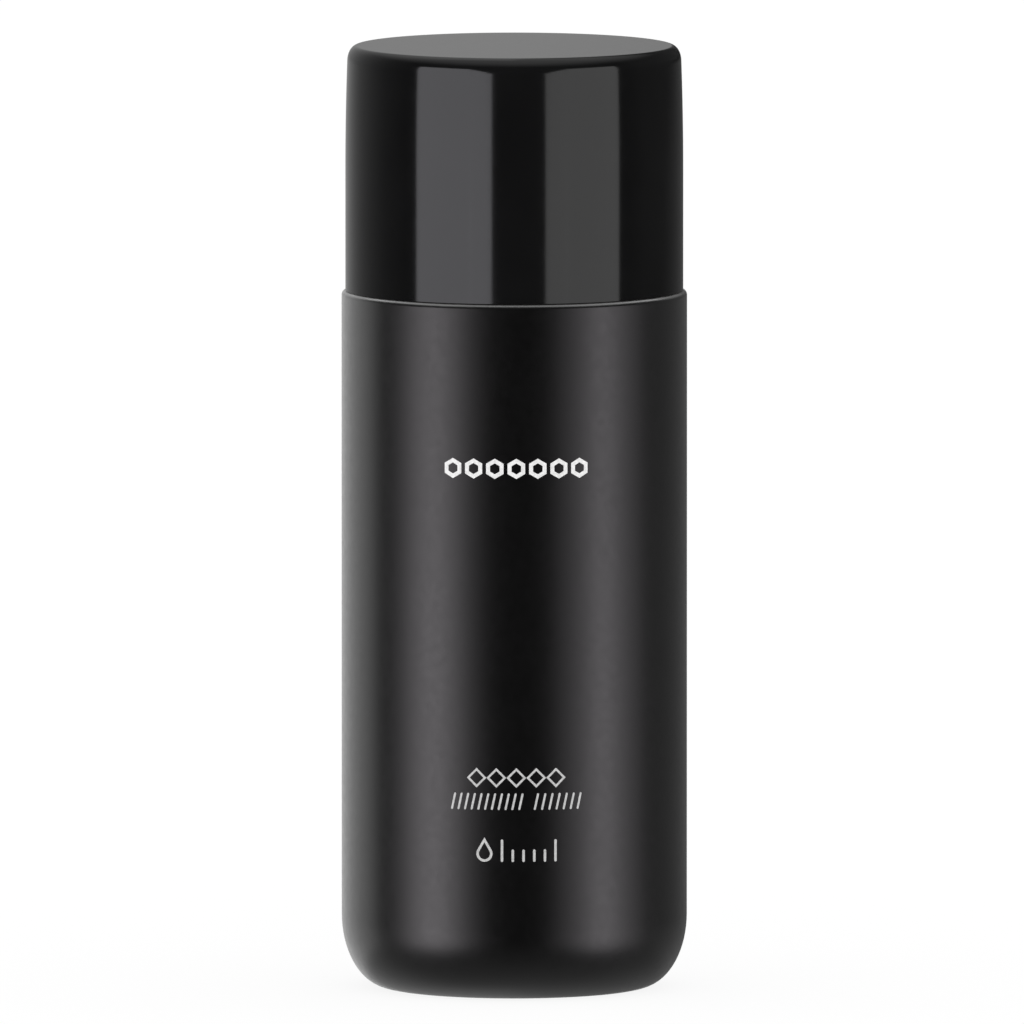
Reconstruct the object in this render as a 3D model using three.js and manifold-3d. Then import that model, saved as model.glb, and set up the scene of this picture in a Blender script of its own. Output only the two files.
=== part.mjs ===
// A pocket-size aluminium aerosol can of shaving foam with a push-on overcap.
// Millimetres, +Z up. The origin is at the centre of the can's foot, on the plane it stands on,
// and the foam spout points towards -Y.

import * as THREE from 'three';
import { mergeVertices } from 'three/addons/utils/BufferGeometryUtils.js';
import Module from 'manifold-3d';

const wasm = await Module();
wasm.setup();

// ---------------------------------------------------------------- driving dimensions

const CAN_RADIUS = 22.5;          // a standard 45 mm one-piece can
const CAN_WALL = 0.5;
const BASE_WALL = 0.9;            // an extruded can is thickest round its base
const HEEL_WIDTH = 6;             // elliptical rounding between the wall and the foot
const HEEL_HEIGHT = 9.5;
const DOME_RISE = 5.5;            // the base is pushed in against the pressure
const FOOT_WIDTH = 0.9;           // flat ring that the can stands on
const LEDGE_Z = 91;               // top of the straight body, where the overcap sits
const SHOULDER_FILLET = 0.6;

const NECK_RADIUS = 19.3;         // recessed cap seat above the ledge
const NECK_TOP_Z = 94.6;
const CURL_RADIUS = 1.45;         // rolled bead round the 25.4 mm opening
const OPENING_RADIUS = 12.7;
const CURL_Z = 101.9;

const STEM_RADIUS = 1.9;
const STEM_TOP_Z = 109.5;
const PRESS_TRAVEL = 1.6;         // how far the finger pad and stem go down
const CLEARANCE = 0.3;            // gap between neighbouring pieces

const CAP_TOP_Z = 123;
const CAP_FOOT_Z = LEDGE_Z + 0.1;
const CAP_RADIUS = 22;
const CAP_FILLET = 1.3;
const CAP_WALL = 0.9;

const SPOUT_Z = 111.6;            // height of the spout's axis
const SPOUT_RADIUS = 3.7;
const SPOUT_BORE = 2.3;
const SPOUT_REACH = 18;

// ---------------------------------------------------------------- resolution

const ROUND = 40;                 // facets round the wide pieces
const SMALL_ROUND = 24;           // facets round the valve's pieces
const ARC_STEPS = 2;              // each arc of an outline is cut in twice as many chords

// ---------------------------------------------------------------- materials

function finish(color, roughness, metalness) {
  return new THREE.MeshStandardMaterial({ color, roughness, metalness });
}

const lacquer = finish(0x141415, 0.42, 0.2);
const bareMetal = finish(0xc9c9c6, 0.32, 1);
const springSteel = finish(0xa8a9ab, 0.25, 1);
const glossBlack = finish(0x0f0f10, 0.08, 0);
const mattBlack = finish(0x1b1b1c, 0.5, 0);
const whitePlastic = finish(0xe9e9e5, 0.45, 0);
const clearPlastic = finish(0xd8dbda, 0.3, 0);
const sealRubber = finish(0x2a2a2a, 0.85, 0);

// ---------------------------------------------------------------- geometry helpers

/**
 * Turns an outline in the (radius, height) half plane about the Z axis. The outline runs
 * anticlockwise, and it closes on itself or starts and ends on the axis.
 */
function revolve(outline, facets = ROUND) {
  const turned = new THREE.LatheGeometry(outline.getPoints(ARC_STEPS), facets);
  return turned.rotateX(Math.PI / 2);
}

/** An outline through the corners given, closed back to the first. */
function closedOutline(...corners) {
  const outline = new THREE.Path(corners.map(([r, z]) => new THREE.Vector2(r, z)));
  outline.closePath();
  return outline;
}

/** A flat ring between two radii and two heights. */
function ring(inner, outer, low, high, facets = ROUND) {
  return revolve(closedOutline([inner, low], [outer, low], [outer, high], [inner, high]), facets);
}

/** A solid round bar along Z. */
function bar(radius, low, high, facets = SMALL_ROUND) {
  const rod = new THREE.CylinderGeometry(radius, radius, high - low, facets);
  return rod.rotateX(Math.PI / 2).translate(0, 0, (low + high) / 2);
}

/** A box between two corners. */
function block([x0, y0, z0], [x1, y1, z1]) {
  const box = new THREE.BoxGeometry(x1 - x0, y1 - y0, z1 - z0);
  return box.translate((x0 + x1) / 2, (y0 + y1) / 2, (z0 + z1) / 2);
}

/** A manifold solid from a closed three.js geometry. */
function solid(geometry) {
  const bare = geometry.clone();
  bare.deleteAttribute('normal');
  bare.deleteAttribute('uv');
  const merged = mergeVertices(bare);
  const corners = [];
  for (let i = 0; i < merged.index.count; i += 3) {
    const [a, b, c] = [0, 1, 2].map((k) => merged.index.getX(i + k));
    if (a !== b && b !== c && c !== a) corners.push(a, b, c);
  }
  return new wasm.Manifold(new wasm.Mesh({
    numProp: 3,
    vertProperties: merged.attributes.position.array,
    triVerts: new Uint32Array(corners),
  }));
}

/** A three.js geometry from a manifold solid. */
function surface(body) {
  const { vertProperties, triVerts } = body.getMesh();
  const geometry = new THREE.BufferGeometry();
  geometry.setAttribute('position', new THREE.BufferAttribute(vertProperties, 3));
  geometry.setIndex(new THREE.BufferAttribute(triVerts, 1));
  geometry.computeVertexNormals();
  return geometry;
}

/** One geometry from those that join it and those cut out of it. */
function combine(joined, cut = []) {
  const whole = joined.map(solid).reduce((sum, next) => sum.add(next));
  return surface(cut.map(solid).reduce((left, next) => left.subtract(next), whole));
}

// ---------------------------------------------------------------- the can

/**
 * One-piece can: domed base, foot ring, heel, straight wall, rounded ledge for the overcap,
 * cap seat with a snap bead, domed shoulder, and the rolled curl round the valve opening.
 */
function canBody() {
  const footOuter = CAN_RADIUS - HEEL_WIDTH;
  const footInner = footOuter - FOOT_WIDTH;
  const domeRadius = (footInner ** 2 + DOME_RISE ** 2) / (2 * DOME_RISE);
  const domeCentre = DOME_RISE - domeRadius;
  const innerDome = domeRadius + BASE_WALL;
  const innerWidth = HEEL_WIDTH - BASE_WALL;
  const innerHeight = HEEL_HEIGHT - BASE_WALL;
  const filletCentre = CAN_RADIUS - SHOULDER_FILLET;
  const filletZ = LEDGE_Z - SHOULDER_FILLET;
  const curlCentre = OPENING_RADIUS + CURL_RADIUS;
  const shoulderWidth = NECK_RADIUS - curlCentre;
  const shoulderRise = CURL_Z - CURL_RADIUS - NECK_TOP_Z - CAN_WALL / 2;
  const shoulderEnd = Math.PI * 0.45;
  const curlStart = -Math.PI / 4;
  const beadZ = 93.6;
  const beadReach = 0.3;
  const beadHalf = 0.6;
  const wallThinsBy = HEEL_HEIGHT + 3;

  const outline = new THREE.Path();
  outline.moveTo(0, DOME_RISE);
  outline.absarc(0, domeCentre, domeRadius, Math.PI / 2, Math.acos(footInner / domeRadius), true);
  outline.lineTo(footOuter, 0);
  outline.absellipse(footOuter, HEEL_HEIGHT, HEEL_WIDTH, HEEL_HEIGHT, -Math.PI / 2, 0, false);
  outline.lineTo(CAN_RADIUS, filletZ);
  outline.absarc(filletCentre, filletZ, SHOULDER_FILLET, 0, Math.PI / 2, false);
  outline.lineTo(NECK_RADIUS, LEDGE_Z);
  outline.lineTo(NECK_RADIUS, beadZ - beadHalf);
  outline.lineTo(NECK_RADIUS + beadReach, beadZ);
  outline.lineTo(NECK_RADIUS, beadZ + beadHalf);
  outline.lineTo(NECK_RADIUS, NECK_TOP_Z);
  outline.absellipse(curlCentre, NECK_TOP_Z, shoulderWidth, shoulderRise, 0, shoulderEnd, false);
  outline.absarc(curlCentre, CURL_Z, CURL_RADIUS, curlStart, Math.PI, false);
  outline.lineTo(OPENING_RADIUS, CURL_Z - CURL_RADIUS);
  outline.absellipse(
    curlCentre, NECK_TOP_Z, shoulderWidth - CAN_WALL, shoulderRise - CAN_WALL, Math.PI / 2, 0, true,
  );
  outline.lineTo(NECK_RADIUS - CAN_WALL, LEDGE_Z - CAN_WALL);
  outline.lineTo(filletCentre, LEDGE_Z - CAN_WALL);
  outline.absarc(filletCentre, filletZ, SHOULDER_FILLET - CAN_WALL, Math.PI / 2, 0, true);
  outline.lineTo(CAN_RADIUS - CAN_WALL, wallThinsBy);
  outline.absellipse(footOuter, HEEL_HEIGHT, innerWidth, innerHeight, 0, -Math.PI / 2, true);
  outline.absarc(
    0, domeCentre, innerDome, Math.asin((BASE_WALL - domeCentre) / innerDome), Math.PI / 2, false,
  );
  return revolve(outline);
}

// ---------------------------------------------------------------- the valve

const CHANNEL_Z = CURL_Z + 0.7;   // centre of the mounting cup's rolled channel
const CHANNEL_RADIUS = 1.8;
const CUP_WALL = 0.35;
const CUP_FLOOR_Z = 95.3;
const PEDESTAL_TOP_Z = 102.8;
const PEDESTAL_RADIUS = 5.6;
const CUP_OUTER_RADIUS = OPENING_RADIUS + CURL_RADIUS + CHANNEL_RADIUS + CUP_WALL;
const CUP_TOP_Z = CHANNEL_Z + CHANNEL_RADIUS + CUP_WALL;

/** Mounting cup crimped over the curl, with the pedestal that holds the valve. */
function valveCup() {
  const middle = OPENING_RADIUS + CURL_RADIUS;
  const wall = middle - CHANNEL_RADIUS;
  const hole = STEM_RADIUS + CLEARANCE;
  const pedestalInner = PEDESTAL_RADIUS - CUP_WALL;
  const clinch = 13;
  const clinchZ = 98.6;
  const corner = 1.3;
  const hemZ = CURL_Z - CHANNEL_RADIUS / 3;

  const outline = new THREE.Path();
  outline.moveTo(hole, PEDESTAL_TOP_Z - CUP_WALL);
  outline.lineTo(pedestalInner, PEDESTAL_TOP_Z - CUP_WALL);
  outline.lineTo(pedestalInner, CUP_FLOOR_Z + corner / 2);
  outline.lineTo(PEDESTAL_RADIUS, CUP_FLOOR_Z);
  outline.lineTo(clinch - corner, CUP_FLOOR_Z);
  outline.lineTo(clinch, CUP_FLOOR_Z + corner);
  outline.lineTo(clinch, clinchZ);
  outline.lineTo(wall, clinchZ + corner);
  outline.lineTo(wall, CHANNEL_Z);
  outline.absarc(middle, CHANNEL_Z, CHANNEL_RADIUS, Math.PI, 0, true);
  outline.lineTo(middle + CHANNEL_RADIUS, hemZ);
  outline.lineTo(CUP_OUTER_RADIUS, hemZ);
  outline.absarc(middle, CHANNEL_Z, CHANNEL_RADIUS + CUP_WALL, 0, Math.PI, false);
  outline.lineTo(wall - CUP_WALL, clinchZ + corner);
  outline.lineTo(clinch - CUP_WALL, clinchZ);
  outline.lineTo(clinch - CUP_WALL, CUP_FLOOR_Z + corner);
  outline.lineTo(clinch - corner, CUP_FLOOR_Z + CUP_WALL);
  outline.lineTo(PEDESTAL_RADIUS + corner / 2, CUP_FLOOR_Z + CUP_WALL);
  outline.lineTo(PEDESTAL_RADIUS, CUP_FLOOR_Z + corner);
  outline.lineTo(PEDESTAL_RADIUS, PEDESTAL_TOP_Z - corner / 2);
  outline.lineTo(PEDESTAL_RADIUS - corner / 2, PEDESTAL_TOP_Z);
  outline.lineTo(hole, PEDESTAL_TOP_Z);
  outline.closePath();
  return revolve(outline);
}

/** Seal between the curl and the mounting cup. */
function cupGasket() {
  const middle = OPENING_RADIUS + CURL_RADIUS;
  const low = CURL_Z + CURL_RADIUS + CLEARANCE;
  const halfWidth = 0.6;
  const thickness = 0.4;
  return ring(middle - halfWidth, middle + halfWidth, low, low + thickness);
}

const GASKET_TOP_Z = PEDESTAL_TOP_Z - CUP_WALL - CLEARANCE;
const GASKET_THICKNESS = 0.65;
const GASKET_LOW_Z = GASKET_TOP_Z - GASKET_THICKNESS;
const HOUSING_RADIUS = PEDESTAL_RADIUS - CUP_WALL - CLEARANCE;
const HOUSING_TOP_Z = GASKET_LOW_Z - CLEARANCE;
const HOUSING_BORE = 3.4;
const HOUSING_FLOOR_Z = 89;
const TAIL_RADIUS = 2.05;
const TAIL_LOW_Z = 80.5;

/** Seal round the stem, which closes its side holes until it is pressed. */
function stemGasket() {
  return ring(STEM_RADIUS + CLEARANCE, HOUSING_RADIUS, GASKET_LOW_Z, GASKET_TOP_Z, SMALL_ROUND);
}

/** Valve body hanging in the pedestal, with a tail for the dip tube. */
function valveHousing() {
  const barrel = 4.2;
  const bore = 1;
  const funnelLow = HOUSING_FLOOR_Z - 1.5;
  const funnelHigh = HOUSING_FLOOR_Z + 0.5;
  const rimLow = HOUSING_TOP_Z - 3;
  const rimHigh = HOUSING_TOP_Z - 2;
  const outline = closedOutline(
    [bore, TAIL_LOW_Z],
    [TAIL_RADIUS, TAIL_LOW_Z],
    [TAIL_RADIUS, funnelLow],
    [barrel, funnelHigh],
    [barrel, rimLow],
    [HOUSING_RADIUS, rimHigh],
    [HOUSING_RADIUS, HOUSING_TOP_Z],
    [HOUSING_BORE, HOUSING_TOP_Z],
    [HOUSING_BORE, HOUSING_FLOOR_Z],
    [bore, HOUSING_FLOOR_Z],
  );
  return revolve(outline, SMALL_ROUND);
}

const FLANGE_THICKNESS = 1.6;
const FLANGE_TOP_Z = GASKET_LOW_Z - CLEARANCE;
const FLANGE_LOW_Z = FLANGE_TOP_Z - FLANGE_THICKNESS;

/** Hollow stem with a sealing flange, a spigot for the spring and a side hole through it. */
function valveStem() {
  const flange = 3;
  const spigot = 1.5;
  const spigotLow = FLANGE_LOW_Z - 5;
  const spigotPoint = 1;
  const chamfer = 0.4;
  const bore = 1;
  const boreLow = GASKET_LOW_Z + 0.1;
  const sideHole = 0.25;
  const outline = new THREE.Path([
    new THREE.Vector2(0, spigotLow),
    new THREE.Vector2(spigotPoint, spigotLow),
    new THREE.Vector2(spigot, spigotLow + spigotPoint),
    new THREE.Vector2(spigot, FLANGE_LOW_Z),
    new THREE.Vector2(flange, FLANGE_LOW_Z),
    new THREE.Vector2(flange, FLANGE_TOP_Z),
    new THREE.Vector2(STEM_RADIUS, FLANGE_TOP_Z),
    new THREE.Vector2(STEM_RADIUS, STEM_TOP_Z - chamfer),
    new THREE.Vector2(STEM_RADIUS - chamfer, STEM_TOP_Z),
    new THREE.Vector2(bore, STEM_TOP_Z),
    new THREE.Vector2(bore, boreLow),
    new THREE.Vector2(0, boreLow),
  ]);
  const drill = bar(sideHole, -flange, flange, 8)
    .rotateY(Math.PI / 2)
    .translate(0, 0, boreLow + sideHole);
  return combine([revolve(outline, SMALL_ROUND)], [drill]);
}

/** Centreline of a compression spring, with a flat turn at each end. */
class SpringLine extends THREE.Curve {
  constructor(radius, low, high, turns) {
    super();
    Object.assign(this, { radius, low, high, turns });
  }

  getPoint(t, target = new THREE.Vector3()) {
    const evenShare = 0.12;
    const angle = 2 * Math.PI * this.turns * t;
    const eased = THREE.MathUtils.smoothstep(t, 0.02, 0.98);
    const rise = THREE.MathUtils.lerp(eased, t, evenShare);
    const z = THREE.MathUtils.lerp(this.low, this.high, rise);
    return target.set(this.radius * Math.cos(angle), this.radius * Math.sin(angle), z);
  }
}

/** A closed tube or rod swept along a curve. */
function sweep(curve, radius, sides, steps, bore = 0) {
  const section = new THREE.Shape().absarc(0, 0, radius, 0, 2 * Math.PI, false);
  if (bore > 0) section.holes.push(new THREE.Path().absarc(0, 0, bore, 0, 2 * Math.PI, true));
  return new THREE.ExtrudeGeometry(section, {
    extrudePath: curve, steps, curveSegments: sides / 2, bevelEnabled: false,
  });
}

/** Return spring under the stem's flange. */
function valveSpring() {
  const wire = 0.3;
  const radius = 2.45;
  const low = HOUSING_FLOOR_Z + CLEARANCE + wire;
  const high = FLANGE_LOW_Z - CLEARANCE - wire;
  const turns = 6;
  const wireSides = 6;
  const stepsPerTurn = 10;
  return sweep(new SpringLine(radius, low, high, turns), wire, wireSides, turns * stepsPerTurn);
}

/** Dip tube pushed on the tail, bending forward to the lowest corner of the can. */
function dipTube() {
  const bore = TAIL_RADIUS + CLEARANCE;
  const wall = 0.55;
  const tubeTop = HOUSING_FLOOR_Z - 2.2;
  const line = new THREE.CubicBezierCurve3(
    new THREE.Vector3(0, 0, tubeTop),
    new THREE.Vector3(0, 0, 50),
    new THREE.Vector3(0, -9, 25),
    new THREE.Vector3(0, -16.4, 3.9),
  );
  return sweep(line, bore + wall, SMALL_ROUND / 2, 14, bore);
}

// ---------------------------------------------------------------- the actuator

const COLLAR_RADIUS = 17.7;
const COLLAR_TOP_Z = 110.2;
const COLLAR_LOW_Z = 99.4;
const COLLAR_TAPERS_FROM_Z = 105;
const SNAP_Z = 100.6;             // bead that catches under the mounting cup's hem
const DECK_LOW_Z = CUP_TOP_Z + CLEARANCE;
const DECK_TOP_Z = DECK_LOW_Z + 0.8;
const DECK_HOLE = 5;

/** Collar that snaps over the mounting cup, turns on it, and guides the finger pad. */
function actuatorCollar() {
  const skirt = CUP_OUTER_RADIUS + CLEARANCE;
  const snapDepth = 0.5;
  const snapHalf = 0.4;
  const brimOuter = COLLAR_RADIUS - 0.6;
  const brimInner = COLLAR_RADIUS - 1.6;
  const brimEdge = 0.5;
  const wellRadius = COLLAR_RADIUS - 1.4;
  const guideLow = DECK_LOW_Z - 1;
  const guideOuter = DECK_HOLE + 1;
  const slotRadius = SPOUT_RADIUS + 0.4;
  const slotZ = SPOUT_Z - PRESS_TRAVEL + 0.1;
  const slotNear = 13;
  const slotFar = 20;
  const outline = closedOutline(
    [DECK_HOLE, guideLow],
    [guideOuter, guideLow],
    [guideOuter, DECK_LOW_Z],
    [skirt, DECK_LOW_Z],
    [skirt, SNAP_Z + snapHalf],
    [skirt - snapDepth, SNAP_Z],
    [skirt, SNAP_Z - snapHalf],
    [COLLAR_RADIUS, COLLAR_LOW_Z],
    [COLLAR_RADIUS, COLLAR_TAPERS_FROM_Z],
    [brimOuter, COLLAR_TOP_Z - brimEdge],
    [brimOuter - brimEdge, COLLAR_TOP_Z],
    [brimInner, COLLAR_TOP_Z - brimEdge],
    [wellRadius, DECK_TOP_Z],
    [DECK_HOLE, DECK_TOP_Z],
  );
  const slotRound = bar(slotRadius, slotNear, slotFar).rotateX(Math.PI / 2).translate(0, 0, slotZ);
  const slotSides = block([-slotRadius, -slotFar, slotZ], [slotRadius, -slotNear, COLLAR_TOP_Z + 1]);
  return combine([revolve(outline)], [slotRound, slotSides]);
}

/** Finger pad with the stem socket, the foam channel and the spout in one moulding. */
function foamButton() {
  const padRadius = 14.9;
  const padTop = 116;
  const padLow = DECK_TOP_Z + PRESS_TRAVEL + CLEARANCE;
  const roof = 1.1;
  const wall = 1.2;
  const rounding = 1.5;
  const dish = 0.7;
  const dishRadius = 12;
  const floorZ = padTop - dish;
  const roofLow = floorZ - roof;
  const roofMiddle = floorZ - roof / 2;
  const socketLow = 105;
  const socketBore = STEM_RADIUS + CLEARANCE;
  const socketOuter = 3.8;
  const riserBore = 1.6;
  const ribHalf = 0.5;
  const ribLow = padLow + 2;

  const pad = new THREE.Path();
  pad.moveTo(0, roofLow);
  pad.lineTo(padRadius - wall, roofLow);
  pad.lineTo(padRadius - wall, padLow);
  pad.lineTo(padRadius, padLow);
  pad.lineTo(padRadius, padTop - rounding);
  pad.absarc(padRadius - rounding, padTop - rounding, rounding, 0, Math.PI / 2, false);
  pad.lineTo(dishRadius, padTop);
  pad.quadraticCurveTo(dishRadius / 2, floorZ, 0, floorZ);

  const lip = 0.5;
  const tube = new THREE.Path([
    new THREE.Vector2(0, 0),
    new THREE.Vector2(SPOUT_RADIUS, 0),
    new THREE.Vector2(SPOUT_RADIUS, SPOUT_REACH - lip),
    new THREE.Vector2(SPOUT_RADIUS - lip, SPOUT_REACH),
    new THREE.Vector2(0, SPOUT_REACH),
  ]);
  const spout = revolve(tube, SMALL_ROUND).rotateX(Math.PI / 2).translate(0, 0, SPOUT_Z);
  const bore = bar(SPOUT_BORE, -1, SPOUT_REACH + 1).rotateX(Math.PI / 2).translate(0, 0, SPOUT_Z);
  const socket = bar(socketOuter, socketLow, roofMiddle);
  const ribs = [30, 90, 150].map((turn) => {
    const rib = block([socketBore + 1, -ribHalf, ribLow], [padRadius - wall / 2, ribHalf, roofMiddle]);
    return rib.rotateZ(THREE.MathUtils.degToRad(turn));
  });
  const stemHole = bar(socketBore, socketLow - 1, STEM_TOP_Z + CLEARANCE);
  const riser = bar(riserBore, STEM_TOP_Z, SPOUT_Z);
  return combine([revolve(pad), spout, socket, ...ribs], [bore, stemHole, riser]);
}

// ---------------------------------------------------------------- the overcap

const SHELL_FOOT_INNER = CAP_RADIUS - CAP_WALL;
const SHELL_TOP_INNER = 20.85;
const SHELL_ROOF = 1.3;

/** Glossy outer shell: straight skirt, slightly tapered above, small rounding and a flat top. */
function overcapShell() {
  const straightTop = 107;
  const taper = 0.25;
  const crownZ = CAP_TOP_Z - CAP_FILLET;
  const crownRadius = CAP_RADIUS - taper;
  const bow = ((crownZ - straightTop) ** 2 + taper ** 2) / (2 * taper);
  const lean = Math.asin((crownZ - straightTop) / bow);

  const outline = new THREE.Path();
  outline.moveTo(SHELL_FOOT_INNER, CAP_FOOT_Z);
  outline.lineTo(CAP_RADIUS, CAP_FOOT_Z);
  outline.lineTo(CAP_RADIUS, straightTop);
  outline.absarc(CAP_RADIUS - bow, straightTop, bow, 0, lean, false);
  outline.absarc(crownRadius - CAP_FILLET, crownZ, CAP_FILLET, lean, Math.PI / 2, false);
  outline.lineTo(0, CAP_TOP_Z);
  outline.lineTo(0, CAP_TOP_Z - SHELL_ROOF);
  outline.lineTo(SHELL_TOP_INNER, CAP_TOP_Z - SHELL_ROOF);
  outline.closePath();
  return revolve(outline);
}

/** Inner cap with a snap bead at its foot and upright ribs. */
function overcapLiner() {
  const foot = LEDGE_Z + 0.35;
  const wall = 0.7;
  const footOuter = SHELL_FOOT_INNER - CLEARANCE;
  const topOuter = SHELL_TOP_INNER - CLEARANCE;
  const roofTop = CAP_TOP_Z - SHELL_ROOF - CLEARANCE;
  const roofLow = roofTop - 0.8;
  const rimEdge = 0.5;
  const beadDepth = 0.25;
  const beadHalf = 0.6;
  const ribInner = topOuter - wall - 0.8;
  const ribOuter = topOuter - wall / 2;
  const ribHalf = 0.4;
  const ribLow = 97.5;

  const shell = closedOutline(
    [footOuter - wall, foot],
    [footOuter, foot],
    [topOuter, roofTop - rimEdge],
    [topOuter - rimEdge, roofTop],
    [0, roofTop],
    [0, roofLow],
    [topOuter - wall, roofLow],
    [footOuter - wall, foot + 2 * beadHalf],
    [footOuter - wall - beadDepth, foot + beadHalf],
  );
  const ribs = Array.from({ length: 12 }, (_, index) => {
    const rib = block([ribInner, -ribHalf, ribLow], [ribOuter, ribHalf, roofLow + ribHalf]);
    return rib.rotateZ(2 * Math.PI * (index + 0.5) / 12);
  });
  return combine([revolve(shell), ...ribs]);
}

// ---------------------------------------------------------------- assembly

function piece(name, geometry, material) {
  const mesh = new THREE.Mesh(geometry, material);
  mesh.name = name;
  return mesh;
}

const can = new THREE.Group();
can.add(
  piece('can_body', canBody(), lacquer),
  piece('valve_cup', valveCup(), bareMetal),
  piece('cup_gasket', cupGasket(), sealRubber),
  piece('stem_gasket', stemGasket(), sealRubber),
  piece('valve_housing', valveHousing(), whitePlastic),
  piece('valve_spring', valveSpring(), springSteel),
  piece('dip_tube', dipTube(), clearPlastic),
);

const actuator = new THREE.Group();
actuator.add(
  piece('actuator_collar', actuatorCollar(), mattBlack),
  piece('foam_button', foamButton(), mattBlack),
  piece('valve_stem', valveStem(), whitePlastic),
);

const overcap = new THREE.Group();
overcap.add(
  piece('overcap_shell', overcapShell(), glossBlack),
  piece('overcap_liner', overcapLiner(), mattBlack),
);

const aerosol = new THREE.Group();
aerosol.add(can, actuator, overcap);

export default aerosol;
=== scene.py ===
import math

import bmesh
import bpy
from mathutils import Matrix, Vector


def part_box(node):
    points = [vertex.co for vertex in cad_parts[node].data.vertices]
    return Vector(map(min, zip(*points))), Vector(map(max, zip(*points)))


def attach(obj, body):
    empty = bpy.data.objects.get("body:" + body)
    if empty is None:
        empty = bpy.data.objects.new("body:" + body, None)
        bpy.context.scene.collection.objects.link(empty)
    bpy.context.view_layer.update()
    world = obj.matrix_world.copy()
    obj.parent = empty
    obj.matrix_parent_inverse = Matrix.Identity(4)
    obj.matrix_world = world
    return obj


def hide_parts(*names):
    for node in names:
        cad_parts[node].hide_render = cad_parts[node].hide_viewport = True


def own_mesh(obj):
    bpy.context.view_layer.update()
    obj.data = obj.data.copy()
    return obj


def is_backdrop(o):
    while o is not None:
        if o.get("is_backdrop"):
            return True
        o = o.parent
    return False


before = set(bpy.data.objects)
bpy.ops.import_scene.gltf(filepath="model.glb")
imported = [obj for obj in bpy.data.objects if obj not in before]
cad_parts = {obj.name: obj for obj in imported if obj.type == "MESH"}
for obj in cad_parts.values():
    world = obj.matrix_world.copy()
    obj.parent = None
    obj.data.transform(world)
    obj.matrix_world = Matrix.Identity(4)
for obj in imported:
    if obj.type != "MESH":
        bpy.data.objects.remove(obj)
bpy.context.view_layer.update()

# ---------------------------------------------------------------- measures, in metres

MM = 0.001

can_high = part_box("can_body")[1]
cup_low, cup_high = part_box("valve_cup")
collar_low, collar_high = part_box("actuator_collar")
button_low, button_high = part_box("foam_button")
stem_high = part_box("valve_stem")[1]
spring_low, spring_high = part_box("valve_spring")
shell_low, shell_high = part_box("overcap_shell")
liner_low, liner_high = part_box("overcap_liner")

CAN_RADIUS = can_high.x
CAN_WALL = 0.5 * MM
BASE_WALL = 0.9 * MM
HEEL_WIDTH = 6 * MM
HEEL_HEIGHT = 9.5 * MM
FOOT_WIDTH = 0.9 * MM
DOME_RISE = 5.5 * MM
LEDGE_Z = shell_low.z - 0.005 * MM
NECK_RADIUS = 19.3 * MM
NECK_TOP_Z = LEDGE_Z + 3.5 * MM
SEAT_BEAD_Z = LEDGE_Z + 2.5 * MM
OPENING_RADIUS = 12.7 * MM
CURL_RADIUS = 1.45 * MM
CURL_Z = can_high.z - CURL_RADIUS
GAP = 0.3 * MM                    # between neighbouring pieces

ROUND = 192                       # facets round the wide pieces
SMALL_ROUND = 96                  # facets round the spout and the holes
CHORD = math.radians(5)           # largest turn between two chords of an arc
SHARP = math.radians(38)          # edges that turn more than this stay crisp


# ---------------------------------------------------------------- outlines and turned pieces

def arc(centre, radius, start, end, squeeze=1.0):
    """Points of an arc from one angle to another, in degrees; squeeze scales its height."""
    steps = max(2, math.ceil(abs(math.radians(end - start)) / CHORD))
    turns = [math.radians(start + (end - start) * k / steps) for k in range(steps + 1)]
    return [(centre[0] + radius * math.cos(t), centre[1] + radius * squeeze * math.sin(t)) for t in turns]


def rounded(corners, closed=True):
    """Points through (x, y, fillet) corners, with an arc at each corner that has a fillet."""
    points = []
    for index, (x, y, fillet) in enumerate(corners):
        here = Vector((x, y))
        inner = closed or 0 < index < len(corners) - 1
        if not fillet or not inner:
            points.append((x, y))
            continue
        before = (Vector(corners[index - 1][:2]) - here).normalized()
        after = (Vector(corners[(index + 1) % len(corners)][:2]) - here).normalized()
        half = before.angle(after) / 2
        centre = here + (before + after).normalized() * fillet / math.sin(half)
        first = here + before * fillet / math.tan(half) - centre
        last = here + after * fillet / math.tan(half) - centre
        turn = math.atan2(first.cross(last), first.dot(last))
        steps = max(2, math.ceil(abs(turn) / CHORD))
        for k in range(steps + 1):
            spot = Matrix.Rotation(turn * k / steps, 2) @ first + centre
            points.append((spot.x, spot.y))
    return points


def new_object(name, mesh):
    """An object of the scene from a mesh."""
    piece = bpy.data.objects.new(name, mesh)
    bpy.context.scene.collection.objects.link(piece)
    return piece


def face_outwards(mesh):
    """Turns all the faces of a new closed mesh outwards."""
    mesh.update()
    bm = bmesh.new()
    bm.from_mesh(mesh)
    bmesh.ops.recalc_face_normals(bm, faces=bm.faces)
    bm.to_mesh(mesh)
    bm.free()


def turned(name, outline, closed=True, facets=ROUND):
    """A body of revolution about Z from an anticlockwise (radius, height) outline.

    An outline that isn't closed starts and ends on the axis. Faces follow the outline in order,
    with one band of facets for each of its chords."""
    mesh = bpy.data.meshes.new(name)
    verts, rings = [], []
    for radius, height in outline:
        if radius < 1e-7:
            rings.append([len(verts)] * facets)
            verts.append((0, 0, height))
            continue
        rings.append([len(verts) + k for k in range(facets)])
        for k in range(facets):
            turn = 2 * math.pi * k / facets
            verts.append((radius * math.sin(turn), -radius * math.cos(turn), height))
    faces = []
    for j in range(len(rings) if closed else len(rings) - 1):
        low, high = rings[j], rings[(j + 1) % len(rings)]
        for k in range(facets):
            n = (k + 1) % facets
            corners = [low[k], low[n], high[n], high[k]]
            faces.append(list(dict.fromkeys(corners)))
    mesh.from_pydata(verts, [], faces)
    mesh.update()
    return new_object(name, mesh)


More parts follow.
